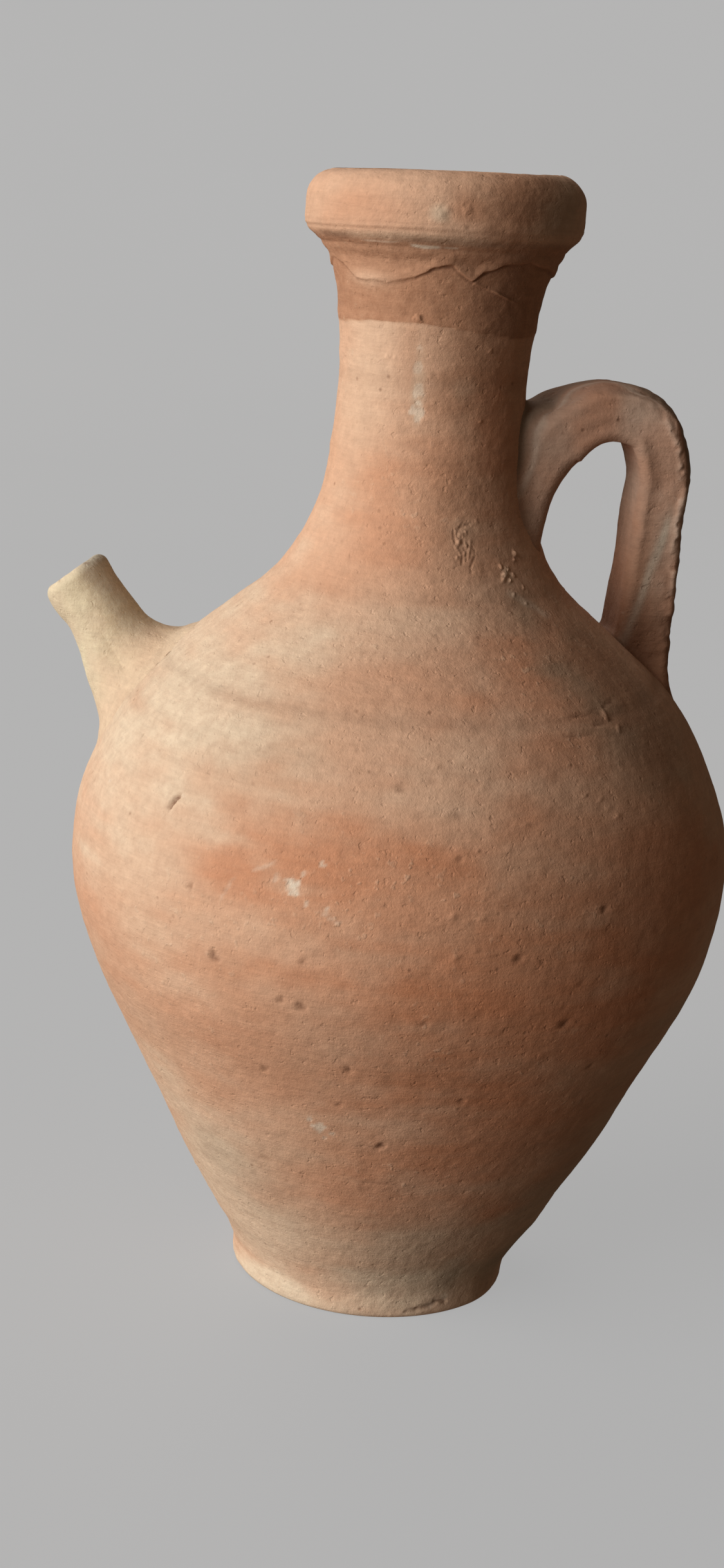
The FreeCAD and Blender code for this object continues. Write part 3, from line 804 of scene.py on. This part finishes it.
def handle_piece():
    """The pulled strap with its ridges and scratches, thumbed on to the neck and the shoulder."""
    rows = 400
    columns = 180
    course, way = curve_through(STRAP_COURSE, rows)
    centre = course[:, :3]
    along = unit(np.gradient(centre, axis=0))
    across = np.array([-math.sin(STRAP_HEADING), math.cos(STRAP_HEADING), 0.0])
    across = unit(across - along * (along @ across)[:, None])
    outward = np.cross(along, across)
    swell = 1 + 0.02 * np.sin(way / 9.0) + 0.015 * np.sin(way / 4.1 + 1)
    corner = STRAP_CORNER + (NECK_END_CORNER - STRAP_CORNER) * smooth(-way, -75, -25)
    sections = np.stack([
        rounded_section(columns, STRAP_WIDTH / 2 * swell[place], course[place, 3] / 2, corner[place])
        for place in range(rows)])
    offset = across[:, None] * sections[..., :1] + outward[:, None] * sections[..., 1:]
    points = centre[:, None] + offset
    # how far the pads spread along the wall
    outer_or_far = np.maximum(sections[..., 1] / 9, sections[..., 0] / 12)
    reach = 4.2 - 1.2 * smooth(way, 60, 90)[:, None] * smooth(-outer_or_far, -0.9, 0)
    reach = reach + 3.5 * smooth(way, 105, 130)[:, None] * smooth(sections[..., 1] / 9, 0.2, 1.0)
    points = spread_on_wall(points, unit(offset), reach)
    gap = wall_distance(points)
    sideways = sections[..., 0] / (STRAP_WIDTH / 2)
    face = sections[..., 1] / (course[:, 3] / 2)[:, None]
    run = np.broadcast_to(way[:, None], sideways.shape)
    stretched = np.stack([sideways * 12, face * 9, run * 0.16], axis=-1) + 300
    normal = grid_normals(points)
    rise = 0.32 * noise(points, 16, 41) + 0.12 * noise(points, 7, 42) + 0.08 * fractal(points, 3.2, 3, 43)
    rise += 0.22 * noise(stretched, 3.0, 44) * smooth(np.abs(sideways), 0.2, 0.9)
    # scored outer face
    scored = smooth(face, 0.1, 0.9) * smooth(run, 55, 80)
    near_side = smooth(-sideways, 0.2, 0.9)
    rough = noise(np.stack([sideways * 12, face * 8, run * 0.35], axis=-1) + 80, 1.6, 45)
    rough += 0.8 * noise(points, 1.8, 50)
    rise += 0.3 * rough * scored
    # the near edge pared away, with a torn crest left along the cut
    level = points * [0, 0, 1]
    ridge_at = np.interp(run, [60, 90, 112, 140], [0.5, 0.42, 0.65, 0.75])
    ridge_at += 0.14 * noise(level, 9, 51) + 0.08 * noise(level, 3, 54)
    pared = np.interp(run, [40, 65, 90, 112, 140], [0.0, 2.2, 2.4, 1.3, 0.8])
    rise -= pared * near_side * smooth(face, ridge_at, 1.1)
    crest = bell(face, ridge_at, 0.16) * near_side * smooth(run, 62, 78) * fade(run, 128, 140)
    crest *= smooth(noise(points, 4.5, 52) + 0.5 * noise(points, 1.8, 53), -0.35, 0.25)
    rise += 0.6 * crest
    # the sag behind the neck, and the sooty wedge on top with its lit edge, which carries a painted
    # highlight
    sagging = smooth(run, 12, 30) * fade(run, 44, 58) * smooth(gap, 1.5, 8)
    rise -= 4.4 * sagging * smooth(face, 0.3, 1.0) * fade(sideways, -1.0, 0.7)
    over_edge = face + 1 + np.clip(sideways, -1, 1)
    edge_at = np.interp(run, [0, 30, 42, 52, 60, 70, 80, 95, 130],
                        [0.5, 0.5, 0.8, 1.9, 2.1, 1.2, 0.6, 0.5, 0.7])
    edge_at += 0.12 * noise(points, 8, 55)
    sooty = smooth(over_edge, edge_at, edge_at + 0.4)
    lit_edge = bell(over_edge - edge_at, -0.12, 0.14) * fade(run, 66, 82)
    rise += 0.2 * lit_edge
    rise -= 0.35 * bell(face, -0.35, 0.3) * near_side * smooth(run, 40, 60) * fade(run, 95, 115)
    # both roots smeared smooth, with a low welt along them
    rise = rise * (0.15 + 0.85 * smooth(gap, 0.5, 5)) + 0.2 * bell(gap, 1.2, 0.9) * noise(points, 8, 46)
    points = points + normal * rise[..., None]
    points = settle_in_wall(points, 2.8)
    faces = capped(grid_faces(rows, columns), rows, columns)
    piece = new_piece("clay_handle", points, faces, grid_normals(points))

    streak = bell(face + (run - 114) * 0.022, -0.08, 0.16) * smooth(run, 98, 110) * fade(run, 140, 150)
    streak = np.clip(near_side * streak * (0.9 + 0.5 * noise(stretched, 2.5, 47)), 0, 1)
    soot = sooty * (0.9 + 0.3 * noise(points, 6, 56)) * (1 - 0.4 * smooth(run, 80, 110))
    grey = np.maximum(0.7 * streak, 0.85 * soot)
    red = np.clip(0.2 + 0.3 * fractal(points, 14, 3, 48) + 0.3 * scored, 0, 1)
    # cream along the lit edge is a painted highlight; on the torn crest it is pale crumbs and painted
    # highlight
    cream = 0.1 + 0.3 * noise(points, 18, 49) + 0.4 * crest + 0.5 * lit_edge + 0.5 * streak
    soil_and_shade = np.clip(0.5 * scored * smooth(-rough, 0, 0.8) + 0.35 * bell(gap, 0.2, 0.7), 0, 1)
    soil_and_shade = np.maximum(soil_and_shade, 0.3 * sooty * smooth(run, 70, 90))
    low_end = smooth(run, 100, 120)
    # painted shade: soil darkens the strap's inner side close to the shoulder
    soil_and_shade = np.maximum(soil_and_shade, 0.7 * fade(gap, 3, 24) * low_end * smooth(-face, -0.7, 0.5))
    # painted shade where the strap meets the shoulder and down its inner face; the scored face is a little
    # darker too
    scored_and_shade = np.maximum(0.15 * scored, 0.85 * fade(gap, 4, 26) * low_end)
    scored_and_shade = np.maximum(scored_and_shade, 0.6 * smooth(-face, -0.1, 0.6) * smooth(run, 98, 122))
    paint(piece, "stain_and_painted_light", red, cream, scored_and_shade)
    paint(piece, "marks_and_shade", 0.65 * streak, grey, soil_and_shade)
    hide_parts("handle_strap", "neck_pad", "shoulder_pad")
    return piece


handle = handle_piece()


# ---- clay material
class Wiring:
    """A few words for wiring one material's shader nodes."""

    def __init__(self, name):
        self.material = bpy.data.materials.new(name)
        self.material.use_nodes = True
        self.tree = self.material.node_tree
        self.shader = self.tree.nodes["Principled BSDF"]

    def node(self, kind, **values):
        made = self.tree.nodes.new("ShaderNode" + kind)
        for key, value in values.items():
            if key in made.inputs:
                made.inputs[key].default_value = value
            else:
                setattr(made, key, value)
        return made

    def link(self, source, target):
        self.tree.links.new(source, target)

    def noise(self, place, scale, detail, roughness=0.6):
        made = self.node("TexNoise", Scale=scale, Detail=detail, Roughness=roughness)
        self.link(place, made.inputs["Vector"])
        return made.outputs["Fac"]

    def ramp(self, value, start, end, low_value=0.0, high_value=1.0):
        made = self.node("MapRange", clamp=True, **{
            "From Min": start, "From Max": end, "To Min": low_value, "To Max": high_value})
        self.link(value, made.inputs["Value"])
        return made.outputs["Result"]

    def times(self, first, second):
        return self.math("MULTIPLY", first, second)

    def math(self, operation, first, second):
        made = self.node("Math", operation=operation)
        for place, value in enumerate((first, second)):
            if isinstance(value, (int, float)):
                made.inputs[place].default_value = value
            else:
                self.link(value, made.inputs[place])
        return made.outputs["Value"]

    def mix(self, share, first, second, blend="MIX"):
        made = self.node("Mix", data_type="RGBA", blend_type=blend)
        if share is None:
            made.inputs["Factor"].default_value = 1.0
        else:
            self.link(share, made.inputs["Factor"])
        sockets = [item for item in made.inputs if item.type == "RGBA"]
        for socket, value in zip(sockets, (first, second)):
            if isinstance(value, tuple):
                socket.default_value = (*value, 1.0)
            else:
                self.link(value, socket)
        return [item for item in made.outputs if item.type == "RGBA"][0]


    def masks(self, name):
        """The three masks painted under a name: its red, green and blue."""
        source = self.node("Attribute", attribute_name=name)
        made = self.node("SeparateColor")
        self.link(source.outputs["Color"], made.inputs["Color"])
        return made.outputs


FIRED_RED = (0.58, 0.23, 0.11)
BAND_AND_SHADE_BROWN = (0.43, 0.205, 0.11)
BARE_FLAKE = (0.82, 0.67, 0.51)
DARK_SPECK = (0.24, 0.11, 0.06)
SOIL_AND_SHADE = (0.19, 0.085, 0.045)


def clay_material(name, light, mid, slip, grime_and_shade):
    """Unglazed fired clay: mottled body, stains, slip, grime, soil in the hollows and a gritty skin, with
    the painted shade and painted highlights that the masks carry.
    """
    clay = Wiring(name)
    place = clay.node("TexCoord").outputs["Object"]
    stains_and_painted_light = clay.masks("stain_and_painted_light")
    marks_and_shade = clay.masks("marks_and_shade")
    squash = clay.node("Mapping")
    squash.inputs["Scale"].default_value = (1.0, 1.0, 9.0)
    clay.link(place, squash.inputs["Vector"])
    cloud = clay.noise(place, 16.0, 5.0, 0.55)
    drag = clay.noise(squash.outputs["Vector"], 22.0, 6.0, 0.62)
    brush = clay.noise(squash.outputs["Vector"], 120.0, 3.0, 0.6)
    fine = clay.noise(place, 300.0, 5.0, 0.72)
    grain = clay.noise(place, 1300.0, 3.0, 0.7)
    lumps = clay.noise(place, 420.0, 2.0, 0.5)
    rough_patch = clay.ramp(clay.noise(place, 26.0, 3.0), 0.5, 0.68)

    colour = clay.mix(clay.ramp(cloud, 0.3, 0.7), mid, light)
    colour = clay.mix(clay.ramp(drag, 0.4, 0.7, 0.0, 0.4), colour, light)
    for mask, pattern, start, end, weak, full, painted in (
            (stains_and_painted_light["Red"], drag, 0.25, 0.6, 0.7, 1.0, FIRED_RED),
            (stains_and_painted_light["Green"], fine, 0.3, 0.6, 0.75, 1.0, slip),
            (marks_and_shade["Green"], cloud, 0.35, 0.6, 0.6, 1.0, grime_and_shade),
            # the blue stain mask is the dark band and painted shade, both painted in the band brown
            (stains_and_painted_light["Blue"], fine, 0.3, 0.65, 1.0, 0.8, BAND_AND_SHADE_BROWN),
            (marks_and_shade["Red"], fine, 0.3, 0.5, 0.6, 1.0, BARE_FLAKE)):
        share = clay.times(mask, clay.ramp(pattern, start, end, weak, full))
        colour = clay.mix(share, colour, painted)

    specks = clay.node("TexVoronoi", Scale=210.0)
    clay.link(place, specks.inputs["Vector"])
    sparse = clay.ramp(clay.noise(place, 75.0, 2.0), 0.52, 0.66)
    dirt = clay.times(clay.ramp(specks.outputs["Distance"], 0.05, 0.17, 0.6, 0.0), sparse)
    colour = clay.mix(dirt, colour, DARK_SPECK)
    soil_and_shade = clay.times(marks_and_shade["Blue"], 0.85)
    colour = clay.mix(soil_and_shade, colour, SOIL_AND_SHADE)
    crumbs = clay.times(clay.ramp(lumps, 0.6, 0.72), rough_patch)
    dimples = clay.ramp(lumps, 0.36, 0.27)
    colour = clay.mix(clay.times(crumbs, 0.22), colour, slip)
    tone = clay.node("CombineColor")
    shade = clay.times(clay.ramp(fine, 0.25, 0.75, 0.88, 1.1), clay.ramp(brush, 0.3, 0.7, 0.95, 1.05))
    for socket in ("Red", "Green", "Blue"):
        clay.link(shade, tone.inputs[socket])
    colour = clay.mix(None, colour, tone.outputs["Color"], "MULTIPLY")
    clay.link(colour, clay.shader.inputs["Base Color"])
    clay.link(clay.ramp(fine, 0.3, 0.7, 0.8, 0.98), clay.shader.inputs["Roughness"])
    clay.shader.inputs["Specular IOR Level"].default_value = 0.25

    height = clay.math("ADD", clay.times(fine, 0.75), clay.times(grain, 0.3))
    for operation, layer, weight in (("ADD", brush, 0.3), ("ADD", crumbs, 0.32),
                                     ("SUBTRACT", dimples, 0.3), ("SUBTRACT", dirt, 0.5)):
        height = clay.math(operation, height, clay.times(layer, weight))
    bump = clay.node("Bump", Strength=0.7, Distance=0.0006)
    clay.link(height, bump.inputs["Height"])
    clay.link(bump.outputs["Normal"], clay.shader.inputs["Normal"])
    return clay.material


RED_CLAY = clay_material("red_clay", light=(0.69, 0.425, 0.275), mid=(0.65, 0.36, 0.215),
                         slip=(0.75, 0.58, 0.405), grime_and_shade=(0.36, 0.27, 0.18))
BROWN_CLAY = clay_material("brown_clay", light=(0.56, 0.365, 0.255), mid=(0.49, 0.29, 0.195),
                           slip=(0.68, 0.54, 0.42), grime_and_shade=(0.24, 0.20, 0.14))
PALE_CLAY = clay_material("pale_clay", light=(0.74, 0.55, 0.38), mid=(0.71, 0.50, 0.34),
                          slip=(0.76, 0.63, 0.42), grime_and_shade=(0.40, 0.36, 0.28))


def finished(piece, material):
    """Give a piece its clay and its body."""
    piece.data.materials.append(material)
    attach(piece, "root")


for name, piece in wall_pieces.items():
    finished(piece, RED_CLAY)
finished(spout, PALE_CLAY)
finished(handle, BROWN_CLAY)


# ---- studio
PAPER_LIGHT = (0.12, 0.12, 0.12)
PAPER_DARK = (0.115, 0.115, 0.115)
PAPER_GLOW = 0.39
FLOOR_RUN = 2.0
SWEEP_CURVE = 2.6
SWEEP_TOP = 7.0
LAMP_DISTANCE = 5.6
CAMERA_PLACE = (0, -0.720, 0.354)
CAMERA_PITCH, CAMERA_YAW, CAMERA_ROLL = 15.0, -1.05, 3.77
CAMERA_LENS = 54.27


def paper_material():
    """Pale paper, lit evenly all over, that takes a light shadow."""
    paper = Wiring("paper")
    place = paper.node("TexCoord").outputs["Object"]
    shade = paper.ramp(paper.noise(place, 3.0, 2.0), 0.3, 0.7)
    paper.link(paper.mix(shade, PAPER_LIGHT, PAPER_DARK), paper.shader.inputs["Base Color"])
    for key, value in (("Roughness", 0.95), ("Specular IOR Level", 0.0),
                       ("Emission Color", (1, 1, 1, 1)), ("Emission Strength", PAPER_GLOW)):
        paper.shader.inputs[key].default_value = value
    return paper.material


def studio_floor():
    """A pale round floor that curves up into a wall on every side."""
    line = [(0.0, 0.0)]
    for angle in np.radians(np.linspace(-90, 0, 46)):
        line.append((FLOOR_RUN + SWEEP_CURVE * math.cos(angle), SWEEP_CURVE * (1 + math.sin(angle))))
    line.append((FLOOR_RUN + SWEEP_CURVE, SWEEP_TOP))
    turns = np.radians(np.arange(0, 360, 5))
    vertices = [(r * math.cos(t), r * math.sin(t), z) for r, z in line for t in turns]
    mesh = bpy.data.meshes.new("sweep")
    mesh.from_pydata(vertices, [], [tuple(face) for face in grid_faces(len(line), len(turns)).tolist()])
    for polygon in mesh.polygons:
        polygon.use_smooth = True
    mesh.materials.append(paper_material())
    sweep = placed("sweep", mesh)
    sweep.visible_diffuse = sweep.visible_glossy = sweep.visible_shadow = False


def soft_lamp(name, azimuth, elevation, size, watts, colour=(1, 1, 1)):
    """A square soft lamp aimed at the jug's middle from an azimuth and elevation."""
    lamp = bpy.data.lights.new(name, "AREA")
    lamp.shape = "SQUARE"
    lamp.size = size
    lamp.energy = watts
    lamp.color = colour
    turn, lift = math.radians(azimuth), math.radians(elevation)
    middle = Vector((0, 0, JUG_HEIGHT * MM / 2))
    away = Vector((math.cos(turn) * math.cos(lift), math.sin(turn) * math.cos(lift), math.sin(lift)))
    holder = placed(name, lamp)
    holder.location = middle + away * LAMP_DISTANCE
    holder.rotation_euler = away.to_track_quat("Z", "Y").to_euler()
    holder.visible_camera = False


def studio_light():
    """Dim warm light all round, a big soft lamp at the front left and a weak one behind."""
    world = bpy.data.worlds.new("studio")
    bpy.context.scene.world = world
    world.use_nodes = True
    background = world.node_tree.nodes["Background"]
    background.inputs["Color"].default_value = (1.0, 0.78, 0.6, 1)
    background.inputs["Strength"].default_value = 0.08
    soft_lamp("key", azimuth=-149, elevation=16, size=5.9, watts=462)
    soft_lamp("back_fill", azimuth=118, elevation=28, size=3.2, watts=90, colour=(1.0, 0.95, 0.9))
    bpy.context.scene.view_settings.view_transform = "Standard"


def photo_camera():
    """The camera at the photograph's viewing angle: slightly above, looking down, and rolled a little."""
    pitch, yaw, roll = map(math.radians, (CAMERA_PITCH, CAMERA_YAW, CAMERA_ROLL))
    forward = Vector((math.sin(yaw) * math.cos(pitch), math.cos(yaw) * math.cos(pitch), -math.sin(pitch)))
    level = Vector((math.cos(yaw), -math.sin(yaw), 0))
    up = level.cross(forward)
    right = level * math.cos(roll) + up * math.sin(roll)
    top = up * math.cos(roll) - level * math.sin(roll)
    data = bpy.data.cameras.new("camera")
    data.lens = CAMERA_LENS
    data.sensor_width = 36.0
    camera = placed("camera", data)
    turned = Matrix((right, top, -forward)).transposed()
    camera.matrix_world = Matrix.Translation(CAMERA_PLACE) @ turned.to_4x4()
    bpy.context.scene.camera = camera


studio_floor()
studio_light()
photo_camera()
